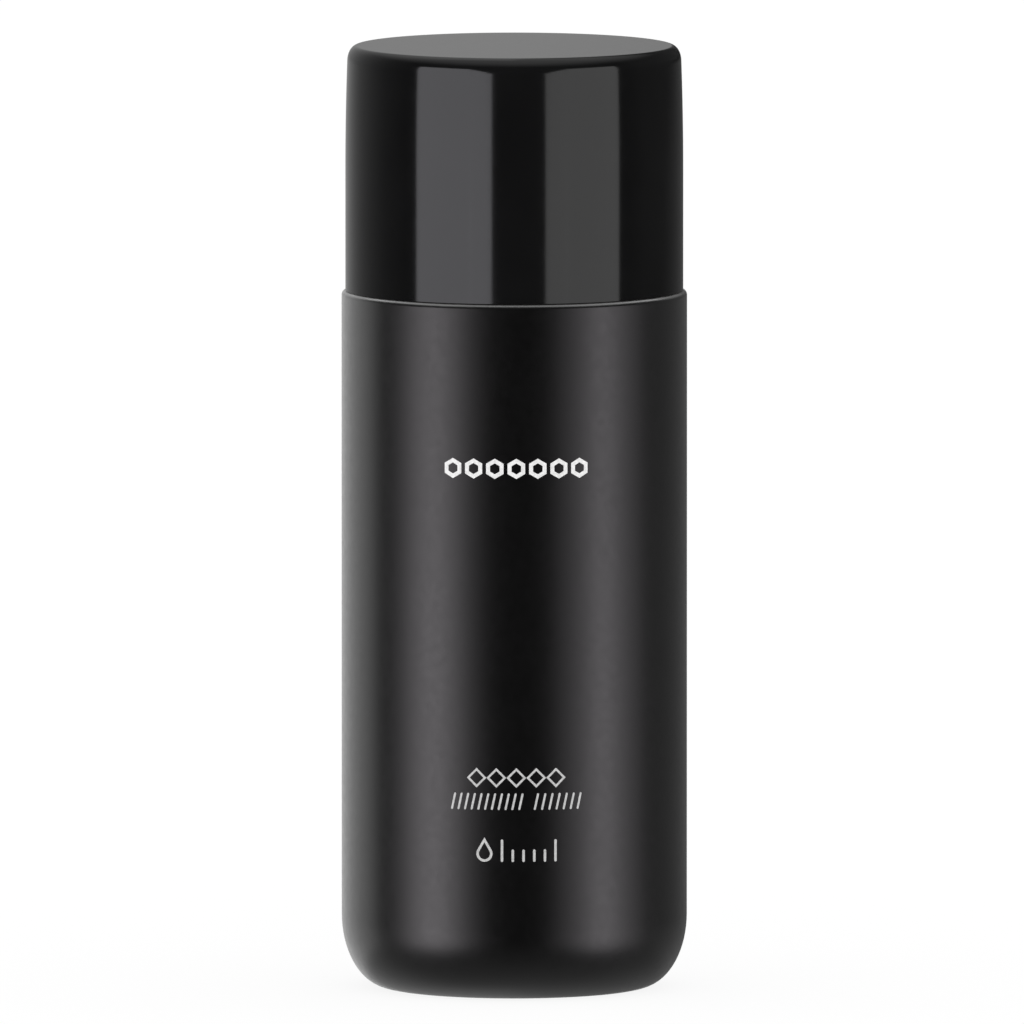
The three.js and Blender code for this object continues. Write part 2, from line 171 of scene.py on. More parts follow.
def finish_surface(piece):
    """Smooth shading with crisp edges, and normals that large faces decide."""
    piece.data.shade_smooth()
    piece.data.set_sharp_from_angle(angle=SHARP)
    weighted = piece.modifiers.new("weighted_normals", "WEIGHTED_NORMAL")
    weighted.keep_sharp = True
    weighted.weight = 100
    return piece


def boolean(piece, other, operation):
    """Joins or cuts piece by other, and removes other."""
    cut = piece.modifiers.new("cut", "BOOLEAN")
    cut.operation = operation
    cut.solver = "EXACT"
    cut.object = other
    bpy.context.view_layer.update()
    evaluated = piece.evaluated_get(bpy.context.evaluated_depsgraph_get())
    mesh = bpy.data.meshes.new_from_object(evaluated)
    piece.modifiers.clear()
    piece.data = mesh
    bpy.data.objects.remove(other)
    return piece


def material_bands(piece, bands):
    """Gives each stretch of a turned piece's outline its own material, from (chords, material)
    pairs that cover the whole outline."""
    indices = []
    for index, (chords, material) in enumerate(bands):
        piece.data.materials.append(material)
        indices += [index] * (chords * ROUND)
    piece.data.polygons.foreach_set("material_index", indices)


# ---------------------------------------------------------------- materials

class Recipe:
    """A material built from nodes, in the piece's own coordinates."""

    def __init__(self, name, **values):
        self.material = bpy.data.materials.new(name)
        self.material.use_nodes = True
        self.tree = self.material.node_tree
        self.shader = self.tree.nodes["Principled BSDF"]
        self.place = self.node("ShaderNodeTexCoord").outputs["Object"]
        for key, value in values.items():
            self.shader.inputs[key.replace("_", " ")].default_value = value

    def node(self, kind, **settings):
        made = self.tree.nodes.new(kind)
        for key, value in settings.items():
            setattr(made, key, value)
        return made

    def link(self, source, target):
        self.tree.links.new(source, target)

    def noise(self, scale, detail=3.0, stretch=(1, 1, 1)):
        """A noise field; scale is in features per metre."""
        mapping = self.node("ShaderNodeMapping")
        mapping.inputs["Scale"].default_value = stretch
        self.link(self.place, mapping.inputs["Vector"])
        field = self.node("ShaderNodeTexNoise")
        field.inputs["Scale"].default_value = scale
        field.inputs["Detail"].default_value = detail
        self.link(mapping.outputs["Vector"], field.inputs["Vector"])
        return field.outputs["Fac"]

    def turning_marks(self, scale):
        """Fine rings about the Z axis, as a tool or a spinning die leaves them."""
        split = self.node("ShaderNodeSeparateXYZ")
        self.link(self.place, split.inputs["Vector"])
        squares = []
        for axis in ("X", "Y"):
            square = self.node("ShaderNodeMath", operation="MULTIPLY")
            self.link(split.outputs[axis], square.inputs[0])
            self.link(split.outputs[axis], square.inputs[1])
            squares.append(square.outputs[0])
        total = self.node("ShaderNodeMath", operation="ADD")
        self.link(squares[0], total.inputs[0])
        self.link(squares[1], total.inputs[1])
        radius = self.node("ShaderNodeMath", operation="SQRT")
        self.link(total.outputs[0], radius.inputs[0])
        join = self.node("ShaderNodeCombineXYZ")
        self.link(radius.outputs[0], join.inputs["X"])
        self.link(split.outputs["Z"], join.inputs["Z"])
        field = self.node("ShaderNodeTexNoise")
        field.inputs["Scale"].default_value = scale
        field.inputs["Detail"].default_value = 2
        self.link(join.outputs["Vector"], field.inputs["Vector"])
        return field.outputs["Fac"]

    def vary(self, field, socket, low, high):
        """Drives a number of the shader between two values with a field."""
        ramp = self.node("ShaderNodeMapRange")
        ramp.inputs["From Min"].default_value = 0.3
        ramp.inputs["From Max"].default_value = 0.7
        ramp.inputs["To Min"].default_value = low
        ramp.inputs["To Max"].default_value = high
        self.link(field, ramp.inputs["Value"])
        self.link(ramp.outputs["Result"], self.shader.inputs[socket])

    def tint(self, field, dark, light):
        """Varies the base colour between two colours with a field."""
        ramp = self.node("ShaderNodeValToRGB")
        ramp.color_ramp.elements[0].position = 0.3
        ramp.color_ramp.elements[0].color = (*dark, 1)
        ramp.color_ramp.elements[1].position = 0.7
        ramp.color_ramp.elements[1].color = (*light, 1)
        self.link(field, ramp.inputs["Fac"])
        self.link(ramp.outputs["Color"], self.shader.inputs["Base Color"])

    def bump(self, field, height):
        """Raises the surface by a field, to a height in metres."""
        bump = self.node("ShaderNodeBump")
        bump.inputs["Strength"].default_value = 1
        bump.inputs["Distance"].default_value = height
        self.link(field, bump.inputs["Height"])
        self.link(bump.outputs["Normal"], self.shader.inputs["Normal"])


def satin_lacquer():
    """Satin black lacquer baked on aluminium, with a fine even tooth."""
    recipe = Recipe("satin_lacquer", Roughness=0.32)
    recipe.tint(recipe.noise(180), (0.0009, 0.0009, 0.0009), (0.0014, 0.0014, 0.0014))
    recipe.vary(recipe.noise(900), "Roughness", 0.30, 0.34)
    recipe.bump(recipe.noise(9000, 2), 0.0008 * MM)
    return recipe.material


def gloss_plastic():
    """High-gloss black moulding, with a faint waviness."""
    recipe = Recipe("gloss_plastic", Roughness=0.1)
    recipe.tint(recipe.noise(120), (0.0037, 0.0037, 0.0038), (0.0045, 0.0045, 0.0046))
    recipe.vary(recipe.noise(700), "Roughness", 0.095, 0.115)
    recipe.bump(recipe.noise(160, 1), 0.002 * MM)
    return recipe.material


def matt_plastic(name, dark, light, roughness):
    """Spark-eroded moulding finish."""
    recipe = Recipe(name, Roughness=roughness)
    recipe.tint(recipe.noise(260), dark, light)
    recipe.vary(recipe.noise(1500), "Roughness", roughness - 0.04, roughness + 0.05)
    recipe.bump(recipe.noise(7000, 2), 0.004 * MM)
    return recipe.material


def spun_metal(name, dark, light, roughness, marks, height):
    """Bare metal with rings left by forming."""
    recipe = Recipe(name, Metallic=1.0, Roughness=roughness)
    rings = recipe.turning_marks(marks)
    recipe.tint(recipe.noise(400), dark, light)
    recipe.vary(rings, "Roughness", roughness - 0.06, roughness + 0.08)
    recipe.bump(rings, height)
    return recipe.material


def seal_rubber():
    """Dull black rubber."""
    recipe = Recipe("seal_rubber", Roughness=0.8)
    recipe.tint(recipe.noise(900), (0.012, 0.012, 0.012), (0.022, 0.022, 0.022))
    recipe.bump(recipe.noise(5000), 0.006 * MM)
    return recipe.material


def milky_tube():
    """Translucent polyethylene."""
    recipe = Recipe("milky_tube", Roughness=0.35, Subsurface_Weight=0.3, Subsurface_Scale=0.6 * MM)
    recipe.tint(recipe.noise(300), (0.66, 0.69, 0.68), (0.74, 0.77, 0.75))
    recipe.bump(recipe.noise(1200), 0.003 * MM)
    return recipe.material


def print_ink(name, dark, light):
    """Screen-printing ink, a little uneven."""
    recipe = Recipe(name, Roughness=0.5)
    recipe.tint(recipe.noise(2600), (dark, dark, dark * 0.99), (light, light, light * 0.99))
    recipe.bump(recipe.noise(9000), 0.002 * MM)
    return recipe.material


lacquer = satin_lacquer()
gloss = gloss_plastic()
matt_black = matt_plastic("matt_black", (0.008, 0.008, 0.0085), (0.012, 0.012, 0.0125), 0.46)
liner_black = matt_plastic("liner_black", (0.010, 0.010, 0.0105), (0.015, 0.015, 0.0155), 0.4)
valve_white = matt_plastic("valve_white", (0.66, 0.66, 0.63), (0.74, 0.74, 0.71), 0.42)
cup_metal = spun_metal("cup_metal", (0.55, 0.55, 0.53), (0.68, 0.68, 0.66), 0.3, 2600, 0.002 * MM)
base_metal = spun_metal("base_metal", (0.50, 0.50, 0.49), (0.64, 0.64, 0.62), 0.34, 1500, 0.004 * MM)
inner_lacquer = spun_metal("inner_lacquer", (0.55, 0.40, 0.16), (0.66, 0.49, 0.22), 0.3, 1800, 0.002 * MM)
spring_steel = spun_metal("spring_steel", (0.42, 0.42, 0.43), (0.52, 0.52, 0.53), 0.24, 3000, 0.001 * MM)
rubber = seal_rubber()
tube = milky_tube()
white_ink = print_ink("white_ink", 0.54, 0.68)
grey_ink = print_ink("grey_ink", 0.34, 0.46)


# ---------------------------------------------------------------- the can

def can_skin():
    """The can in one piece: dome, foot, heel, wall, ledge, cap seat, shoulder and curl."""
    foot_outer = CAN_RADIUS - HEEL_WIDTH
    foot_inner = foot_outer - FOOT_WIDTH
    dome_radius = (foot_inner ** 2 + DOME_RISE ** 2) / (2 * DOME_RISE)
    dome_centre = (0, DOME_RISE - dome_radius)
    curl_centre = OPENING_RADIUS + CURL_RADIUS
    shoulder = NECK_RADIUS - curl_centre
    rise = CURL_Z - CURL_RADIUS - NECK_TOP_Z - 0.25 * MM
    inner_dome = dome_radius + BASE_WALL
    inner_start = math.degrees(math.asin((BASE_WALL - dome_centre[1]) / inner_dome))
    bead = 0.3 * MM
    half = 0.6 * MM

    base = arc(dome_centre, dome_radius, 90, math.degrees(math.acos(foot_inner / dome_radius)) + 2)
    base += rounded([
        (*base[-1], 0),
        (foot_inner + 0.05 * MM, 0, 0.5 * MM),
        (foot_outer, 0, 0),
    ], closed=False)[1:]
    outside = arc((foot_outer, HEEL_HEIGHT), HEEL_WIDTH, -90, 0, HEEL_HEIGHT / HEEL_WIDTH)[1:]
    outside += rounded([
        (CAN_RADIUS, HEEL_HEIGHT, 0),
        (CAN_RADIUS, LEDGE_Z, 0.66 * MM),
        (NECK_RADIUS, LEDGE_Z, 0.35 * MM),
        (NECK_RADIUS, SEAT_BEAD_Z - half, 0.25 * MM),
        (NECK_RADIUS + bead, SEAT_BEAD_Z, 0.4 * MM),
        (NECK_RADIUS, SEAT_BEAD_Z + half, 0.25 * MM),
        (NECK_RADIUS, NECK_TOP_Z, 0),
    ], closed=False)[1:]
    outside += arc((curl_centre, NECK_TOP_Z), shoulder, 0, 81, rise / shoulder)[1:]
    outside += arc((curl_centre, CURL_Z), CURL_RADIUS, -45, 180)
    inner_shoulder = shoulder - CAN_WALL
    inside = arc((curl_centre, NECK_TOP_Z), inner_shoulder, 90, 0, (rise - CAN_WALL) / inner_shoulder)
    inside += rounded([
        (NECK_RADIUS - CAN_WALL, NECK_TOP_Z, 0),
        (NECK_RADIUS - CAN_WALL, LEDGE_Z - CAN_WALL, 0.3 * MM),
        (CAN_RADIUS - CAN_WALL, LEDGE_Z - CAN_WALL, 0.6 * MM),
        (CAN_RADIUS - CAN_WALL, HEEL_HEIGHT + 3 * MM, 0),
    ], closed=False)[1:]
    inner_heel = HEEL_WIDTH - BASE_WALL
    inside += arc((foot_outer, HEEL_HEIGHT), inner_heel, 0, -90, (HEEL_HEIGHT - BASE_WALL) / inner_heel)
    inside += arc(dome_centre, inner_dome, inner_start, 90)

    piece = turned("can_skin", base + outside + inside, closed=False)
    material_bands(piece, [
        (len(base) - 1, base_metal),
        (len(outside), lacquer),
        (len(inside), inner_lacquer),
    ])
    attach(piece, "can")
    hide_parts("can_body")
    return finish_surface(piece)


# ---------------------------------------------------------------- the printing

def stroke(points, width, closed=False):
    """Left and right edges of a pen line, with mitred corners and, on an open line, round ends."""
    line = [Vector(p) for p in points]
    count = len(line)
    pairs = []
    for index, spot in enumerate(line):
        before = line[index - 1] if closed or index else None
        after = line[(index + 1) % count] if closed or index < count - 1 else None
        into = (spot - before).normalized() if before else (after - spot).normalized()
        out_of = (after - spot).normalized() if after else into
        along = (into + out_of).normalized()
        side = Vector((-along.y, along.x)) * width / 2 / max(0.5, along.dot(into))
        pairs.append((spot + side, spot - side))
    if closed:
        return pairs
    for end, inward in ((0, 1), (-1, -2)):
        outward = (line[end] - line[inward]).normalized()
        side = (pairs[end][0] - pairs[end][1]) / 2
        tips = []
        for k in range(1, 5):
            turn = math.pi / 2 * k / 4.3
            spot = line[end] + outward * width / 2 * math.sin(turn)
            tips.append((spot + side * math.cos(turn), spot - side * math.cos(turn)))
        pairs = tips[::-1] + pairs if end == 0 else pairs + tips
    return pairs


def inked(name, ink, strokes):
    """Strokes of ink on the can's wall. Each is (points, width, closed), with the points as
    distance round the can from its front and height."""
    thickness = 0.02 * MM
    verts, faces = [], []

    def wrap(spot, radius):
        turn = spot.x / CAN_RADIUS
        return (radius * math.sin(turn), -radius * math.cos(turn), spot.y)

    for points, width, closed in strokes:
        pairs = stroke(points, width, closed)
        first, count = len(verts), len(pairs)
        for left, right in pairs:
            for edge in (left, right):
                verts.append(wrap(edge, CAN_RADIUS + thickness))
                verts.append(wrap(edge, CAN_RADIUS - thickness))
        for k in range(count if closed else count - 1):
            a, b = first + 4 * k, first + 4 * ((k + 1) % count)
            faces += [(a, b, b + 2, a + 2), (a + 1, a + 3, b + 3, b + 1)]
            faces += [(a, a + 1, b + 1, b), (a + 2, b + 2, b + 3, a + 3)]
        if not closed:
            last = first + 4 * (count - 1)
            faces += [(first, first + 2, first + 3, first + 1), (last, last + 1, last + 3, last + 2)]
    mesh = bpy.data.meshes.new(name)
    mesh.from_pydata(verts, [], faces)
    face_outwards(mesh)
    piece = new_object(name, mesh)
    mesh.materials.append(ink)
    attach(piece, "can")
    return piece


def straight(start, end, step=0.4 * MM):
    """Points from start to end, close enough together to bend round the can."""
    start, end = Vector(start), Vector(end)
    steps = max(1, math.ceil((end - start).length / step))
    return [start.lerp(end, k / steps) for k in range(steps + 1)]


def closed_line(corners, step=0.3 * MM):
    """Points round the corners given and back to the first."""
    line = []
    for k, corner in enumerate(corners):
        line += straight(corner, corners[(k + 1) % len(corners)], step)[:-1]
    return line


def foam_cell(x, y, radius):
    """A hexagon standing on a point."""
    return closed_line([(x + radius * math.cos(t), y + radius * math.sin(t)) for t in
                        (math.radians(30 + 60 * k) for k in range(6))])


def hatching(start, end, y, height, pitch):
    """A row of slanting dashes."""
    lean = height * 0.22
    count = round((end - start) / pitch)
    xs = [start + (end - start) * (k + 0.5) / count for k in range(count)]
    return [straight((x - lean / 2, y - height / 2), (x + lean / 2, y + height / 2)) for x in xs]


def lozenge(x, y, half):
    """A diamond."""
    return closed_line([(x + half, y), (x, y + half), (x - half, y), (x, y - half)])


def drop(x, y, radius):
    """A drop with its point upwards."""
    round_part = [(x + radius * math.cos(t), y + radius * math.sin(t)) for t in
                  (math.radians(150 + 240 * k / 24) for k in range(25))]
    tip = (x, y + 2 * radius)
    return round_part + straight(round_part[-1], tip)[1:] + straight(tip, round_part[0])[1:-1]


def printing():
    """Generic marks with no lettering: a row of foam cells, lozenges, dashes in the place of
    small print, and a drop with a fill scale."""
    bold, fine = 0.52 * MM, 0.27 * MM
    middle = 0.26 * MM

    emblem_z = 69.7 * MM
    cells = [(foam_cell(middle + 2.8 * MM * k, emblem_z, 1.02 * MM), bold, True) for k in range(-3, 4)]
    inked("print_emblem", white_ink, cells)

    diamonds_z = 29.4 * MM
    dashes_z = 26.3 * MM
    lines = [(lozenge(middle + 2.6 * MM * k, diamonds_z, 1.1 * MM), fine, True) for k in range(-2, 3)]
    for start, end in ((-8.5 * MM, 1.3 * MM), (2.4 * MM, 9.1 * MM)):
        lines += [(dash, fine, False) for dash in hatching(start, end, dashes_z, 1.9 * MM, 0.9 * MM)]
    inked("print_small_lines", grey_ink, lines)

    scale_z = 19.9 * MM
    half = 1.3 * MM
    fill = [(drop(-3.9 * MM, scale_z - 0.4 * MM, 0.9 * MM), fine * 1.2, True)]
    for k in range(6):
        x = (-1.6 + 1.4 * k) * MM
        top = scale_z + (half if k in (0, 5) else 0)
        fill.append((straight((x, scale_z - half), (x, top)), fine * 1.2, False))
    inked("print_fill_scale", grey_ink, fill)


# ---------------------------------------------------------------- the valve

def mounting_cup():
    """Cup crimped over the curl, with its rolled channel, clinch, floor and pedestal."""
    middle = OPENING_RADIUS + CURL_RADIUS
    sheet = 0.35 * MM
    channel = cup_high.x - middle - sheet
    channel_z = cup_high.z - channel - sheet
    wall = middle - channel
    floor_z = cup_low.z
    clinch = 13 * MM
    clinch_z = 98.6 * MM
    pedestal = 5.6 * MM
    pedestal_z = 102.8 * MM
    hole = 2.2 * MM
    hem_z = CURL_Z - channel / 3

    outline = rounded([
        (hole, pedestal_z - sheet, 0),
        (pedestal - sheet, pedestal_z - sheet, 0.2 * MM),
        (pedestal - sheet, floor_z, 0.9 * MM),
        (clinch, floor_z, 1.6 * MM),
        (clinch, clinch_z + 0.2 * MM, 0.5 * MM),
        (wall, clinch_z + 1.4 * MM, 0.5 * MM),
        (wall, channel_z, 0),
    ], closed=False)
    outline += arc((middle, channel_z), channel, 180, 0)[1:]
    outline += [(middle + channel, hem_z), (middle + channel + sheet, hem_z)]
    outline += arc((middle, channel_z), channel + sheet, 0, 180)
    outline += rounded([
        (wall - sheet, channel_z, 0),
        (wall - sheet, clinch_z + 1.4 * MM, 0.5 * MM),
        (clinch - sheet, clinch_z + 0.2 * MM, 0.5 * MM),
        (clinch - sheet, floor_z + sheet, 1.3 * MM),
        (pedestal, floor_z + sheet, 0.7 * MM),
        (pedestal, pedestal_z, 0.5 * MM),
        (hole, pedestal_z, 0),
    ], closed=False)[1:]
    piece = turned("mounting_cup", outline, facets=128)
    piece.data.materials.append(cup_metal)
    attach(piece, "can")
    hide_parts("valve_cup")
    return finish_surface(piece)


def return_spring():
    """Compression spring with closed ends."""
    wire = 0.3 * MM
    radius = spring_high.x - wire
    low, high = spring_low.z + wire, spring_high.z - wire
    turns = 6
    steps = 40 * turns
    sides = 10
    mesh = bpy.data.meshes.new("return_spring")
    verts, faces = [], []

    def spot(t):
        turn = 2 * math.pi * turns * t
        eased = min(max((t - 0.02) / 0.96, 0), 1)
        rise = eased * eased * (3 - 2 * eased)
        height = low + (high - low) * (0.12 * t + 0.88 * rise)
        return Vector((radius * math.cos(turn), radius * math.sin(turn), height))

    for k in range(steps + 1):
        t = k / steps
        here = spot(t)
        along = (spot(min(1, t + 1e-3)) - spot(max(0, t - 1e-3))).normalized()
        out = Vector((here.x, here.y, 0)).normalized()
        up = along.cross(out).normalized()
        for s in range(sides):
            turn = 2 * math.pi * s / sides
            verts.append(here + wire * (math.cos(turn) * out + math.sin(turn) * up))
    for k in range(steps):
        for s in range(sides):
            n = (s + 1) % sides
            a, b = k * sides, (k + 1) * sides
            faces.append((a + s, a + n, b + n, b + s))
    faces.append(tuple(range(sides - 1, -1, -1)))
    faces.append(tuple(steps * sides + s for s in range(sides)))
    mesh.from_pydata(verts, [], faces)
    face_outwards(mesh)
    mesh.shade_smooth()
    mesh.set_sharp_from_angle(angle=SHARP)
    mesh.materials.append(spring_steel)
    piece = new_object("return_spring", mesh)
    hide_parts("valve_spring")
    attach(piece, "can")
    return piece


def cad_piece(node, material):
    """Gives a piece whose CAD shape is kept its material."""
    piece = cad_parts[node]
    piece.data.materials.clear()
    piece.data.materials.append(material)
    return piece


# ---------------------------------------------------------------- the actuator

def collar():
    """Collar round the mounting cup, with a slot for the spout."""
    outer = collar_high.x
    top = collar_high.z
    skirt = cup_high.x + GAP
    deck = cup_high.z + GAP
    deck_top = deck + 0.8 * MM
    hole = 5 * MM
    guide = hole + 1 * MM
    snap_z = 100.6 * MM
    slot_radius = 4.1 * MM
    slot_z = 110.1 * MM
    outline = rounded([
        (hole, deck - 1 * MM, 0.2 * MM),
        (guide, deck - 1 * MM, 0.2 * MM),
        (guide, deck, 0.3 * MM),
        (skirt, deck, 0.3 * MM),
        (skirt, snap_z + 0.4 * MM, 0.15 * MM),
        (skirt - 0.5 * MM, snap_z, 0.2 * MM),
        (skirt, snap_z - 0.4 * MM, 0.15 * MM),
        (outer, collar_low.z, 0.15 * MM),
        (outer, 105 * MM, 2 * MM),
        (outer - 0.6 * MM, top, 0.55 * MM),
        (outer - 1.6 * MM, top, 0.4 * MM),
        (outer - 1.4 * MM, deck_top, 0.4 * MM),
        (hole, deck_top, 0.25 * MM),
    ])
    piece = turned("spray_collar", outline)
    slot = rounded([
        (-slot_radius, slot_z - slot_radius, slot_radius * 0.97),
        (slot_radius, slot_z - slot_radius, slot_radius * 0.97),
        (slot_radius, top + 1 * MM, 0),
        (-slot_radius, top + 1 * MM, 0),
    ])
    boolean(piece, prism("slot", slot, -20 * MM, -13 * MM), "DIFFERENCE")
    piece.data.materials.append(matt_black)
    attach(piece, "collar")
    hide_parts("actuator_collar")
    return finish_surface(piece)


def prism(name, outline, near, far):
    """An (x, z) outline pushed from one y to another."""
    mesh = bpy.data.meshes.new(name)
    count = len(outline)
    verts = [(x, near, z) for x, z in outline] + [(x, far, z) for x, z in outline]
    faces = [tuple(range(count)), tuple(range(2 * count - 1, count - 1, -1))]
    faces += [(k, k + count, (k + 1) % count + count, (k + 1) % count) for k in range(count)]
    mesh.from_pydata(verts, [], faces)
    face_outwards(mesh)
    return new_object(name, mesh)


def along_spout(piece, height):
    """Lays a piece turned about Z down along -Y, at a height."""
    piece.data.transform(Matrix.Translation((0, 0, height)) @ Matrix.Rotation(math.pi / 2, 4, "X"))
    return piece


def finger_pad():
    """Finger pad with grip rings, its skirt, the spout and its bore, and the stem socket."""
    radius = button_high.x
    top = button_high.z
    skirt_low = 107.85 * MM
    wall = 1.2 * MM
    roof = 1.1 * MM
    dish = 0.7 * MM
    spout_z = 111.6 * MM
    spout = 3.7 * MM
    bore = 2.3 * MM
    reach = -button_low.y
    grip = 0.22 * MM

    outline = rounded([
        (0, top - dish - roof, 0),
        (radius - wall, top - dish - roof, 0.4 * MM),
        (radius - wall, skirt_low, 0.2 * MM),
        (radius, skirt_low, 0.2 * MM),
        (radius, top, 1.5 * MM),
        (radius - 2.6 * MM, top, 0),
    ], closed=False)
    steps = 96
    for k in range(1, steps + 1):
        r = (radius - 2.6 * MM) * (1 - k / steps)
        share = r / (radius - 2.6 * MM)
        height = top - dish * (1 - share ** 2)
        if 0.25 < share < 0.93:
            height += grip * max(0, math.sin(2 * math.pi * share * 8)) ** 0.5
        outline.append((r, height))
    piece = turned("finger_pad", outline, closed=False)

    tube_outline = rounded([
        (0, 0, 0), (spout, 0, 0), (spout, reach, 0.5 * MM), (0, reach, 0),
    ], closed=False)
    boolean(piece, along_spout(turned("spout", tube_outline, False, SMALL_ROUND), spout_z), "UNION")
    socket_outer = 3.8 * MM
    socket_top = top - dish - roof / 2
    socket = rounded([
        (0, button_low.z, 0),
        (socket_outer, button_low.z, 0.2 * MM),
        (socket_outer, socket_top, 0),
        (0, socket_top, 0),
    ], closed=False)
    boolean(piece, turned("socket", socket, False, SMALL_ROUND), "UNION")
    drill = [(0, 1 * MM), (bore, 1 * MM), (bore, reach - 0.5 * MM), (bore + 0.6 * MM, reach + 0.1 * MM),
             (bore + 0.6 * MM, reach + 1 * MM), (0, reach + 1 * MM)]
    boolean(piece, along_spout(turned("drill", drill, False, SMALL_ROUND), spout_z), "DIFFERENCE")
    hole, riser = 2.2 * MM, 1.6 * MM
    stem_stop = stem_high.z + GAP
    stem_hole = [(0, button_low.z - 1 * MM), (hole, button_low.z - 1 * MM), (hole, stem_stop),
                 (riser, stem_stop), (riser, spout_z), (0, spout_z)]
    boolean(piece, turned("stem_hole", stem_hole, False, SMALL_ROUND), "DIFFERENCE")
    piece.data.materials.append(matt_black)
    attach(piece, "button")
    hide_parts("foam_button")
    return finish_surface(piece)


# ---------------------------------------------------------------- the overcap

def cap_shell():
    """Glossy shell: straight skirt, slight taper above it, small rounding, flat top."""
    radius = shell_high.x
    top = shell_high.z
    foot = shell_low.z
    straight_top = 107 * MM
    taper = 0.25 * MM
    fillet = 1.3 * MM
    crown = 2 * MM
    inner_foot = radius - 0.9 * MM
    inner_top = 20.85 * MM
    roof = 1.3 * MM
    rise = top - crown - straight_top
    bow = (rise ** 2 + taper ** 2) / (2 * taper)
    lean = math.degrees(math.asin(rise / bow))

    outline = rounded([
        (0, top - roof, 0),
        (inner_top, top - roof, 0.5 * MM),
        (inner_foot, foot, 0.1 * MM),
        (radius, foot, 0.02 * MM),
        (radius, straight_top, 0),
    ], closed=False)
    steps = 16
    for k in range(1, steps + 1):
        turn = math.radians(lean) * k / steps
        outline.append((radius - bow * (1 - math.cos(turn)), straight_top + bow * math.sin(turn)))
    outline += arc((radius - taper - fillet, top - crown), fillet, lean, 90, crown / fillet)[1:]
    outline.append((0, top))
    piece = turned("cap_shell", outline, closed=False, facets=256)
    piece.data.materials.append(gloss)
    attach(piece, "overcap")
    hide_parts("overcap_shell")
    return finish_surface(piece)


def cap_liner():
    """Inner cap with its snap bead and twelve upright ribs."""
    foot = liner_low.z
    top = liner_high.z
    outer = liner_high.x
    top_outer = outer - 0.25 * MM
    wall = 0.7 * MM
    roof_low = top - 0.8 * MM
    bead = 0.6 * MM
    rib_low = 97.5 * MM
    rib_inner = top_outer - wall - 0.8 * MM
    rib_outer = top_outer - wall / 2
    rib_top = roof_low + 0.4 * MM
    outline = rounded([
        (0, roof_low, 0),
        (top_outer - wall, roof_low, 0.6 * MM),
        (outer - wall, foot + 2 * bead, 0.3 * MM),
        (outer - wall - 0.25 * MM, foot + bead, 0.3 * MM),
        (outer - wall, foot, 0.1 * MM),
        (outer, foot, 0.1 * MM),
        (top_outer, top, 0.5 * MM),
        (0, top, 0),
    ], closed=False)
    piece = turned("cap_liner", outline, closed=False)
    for index in range(12):
        rib = prism("rib", rounded([
            (rib_inner, rib_low, 0.35 * MM),
            (rib_outer, rib_low, 0),
            (rib_outer, rib_top, 0),
            (rib_inner, rib_top, 0),
        ]), -0.4 * MM, 0.4 * MM)
        rib.data.transform(Matrix.Rotation(2 * math.pi * (index + 0.5) / 12, 4, "Z"))
        boolean(piece, rib, "UNION")
    piece.data.materials.append(liner_black)
    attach(piece, "overcap")
    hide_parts("overcap_liner")
    return finish_surface(piece)


# ---------------------------------------------------------------- making the object

can_skin()
printing()
mounting_cup()
spring = return_spring()
cad_piece("cup_gasket", rubber)
cad_piece("stem_gasket", rubber)
cad_piece("valve_housing", valve_white)
cad_piece("valve_stem", valve_white)
cad_piece("dip_tube", tube)
collar()
finger_pad()
shell = cap_shell()
liner = cap_liner()

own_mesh(spring)


# ---------------------------------------------------------------- floor, world, lights, camera

def polar(azimuth, elevation, distance):
    """A point round the origin: azimuth 0 is the camera's side and grows to the right."""
    a, e = math.radians(azimuth), math.radians(elevation)
    return Vector((math.sin(a) * math.cos(e), -math.cos(a) * math.cos(e), math.sin(e))) * distance


def facing_back(place):
    """The turn that makes a light or camera at a place look back at the origin."""
    return (-place).to_track_quat("-Z", "Y").to_matrix().to_4x4()


def pale_floor():
    """A wide sheet of pale paper, lit as evenly as the surroundings."""
    mesh = bpy.data.meshes.new("floor")
    reach = 4.5
    corners = [(-reach, -reach, 0), (reach, -reach, 0), (reach, reach, 0), (-reach, reach, 0)]
    mesh.from_pydata(corners, [], [(0, 1, 2, 3)])
    floor = new_object("floor", mesh)
    floor.location.z = -0.02 * MM
    paint = bpy.data.materials.new("floor_paper")
    paint.use_nodes = True
    shader = paint.node_tree.nodes["Principled BSDF"]
    shader.inputs["Base Color"].default_value = (0.12, 0.12, 0.12, 1)
    shader.inputs["Roughness"].default_value = 0.9
    shader.inputs["Specular IOR Level"].default_value = 0
    shader.inputs["Emission Color"].default_value = (1, 1, 1, 1)
    shader.inputs["Emission Strength"].default_value = 0.885
    mesh.materials.append(paint)
    floor.visible_glossy = False
    floor.visible_shadow = False
    floor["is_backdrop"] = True
    return floor


def panel(name, sides, ends, radiance, aim, lit, distance=0.9, tone=(1, 1, 1)):
    """A soft rectangular light between two azimuths and two elevations as seen from the aim,
    which only lights the objects given."""
    data = bpy.data.lights.new(name, "AREA")
    data.shape = "RECTANGLE"
    across = 2 * distance * math.tan(math.radians(abs(sides[1] - sides[0]) / 2))
    tall = 2 * distance * math.tan(math.radians((ends[1] - ends[0]) / 2))
    data.size, data.size_y = across, tall
    data.energy = radiance * across * tall * math.pi
    data.color = tone
    light = bpy.data.objects.new(name, data)
    bpy.context.scene.collection.objects.link(light)
    place = polar(sum(sides) / 2, sum(ends) / 2, distance)
    light.matrix_world = Matrix.Translation(aim + place) @ facing_back(place)
    light.visible_camera = False
    light.light_linking.receiver_collection = lit
    return light


def receivers(name, objects):
    """A collection of the objects that a panel lights."""
    group = bpy.data.collections.new(name)
    for piece in objects:
        group.objects.link(piece)
    return group


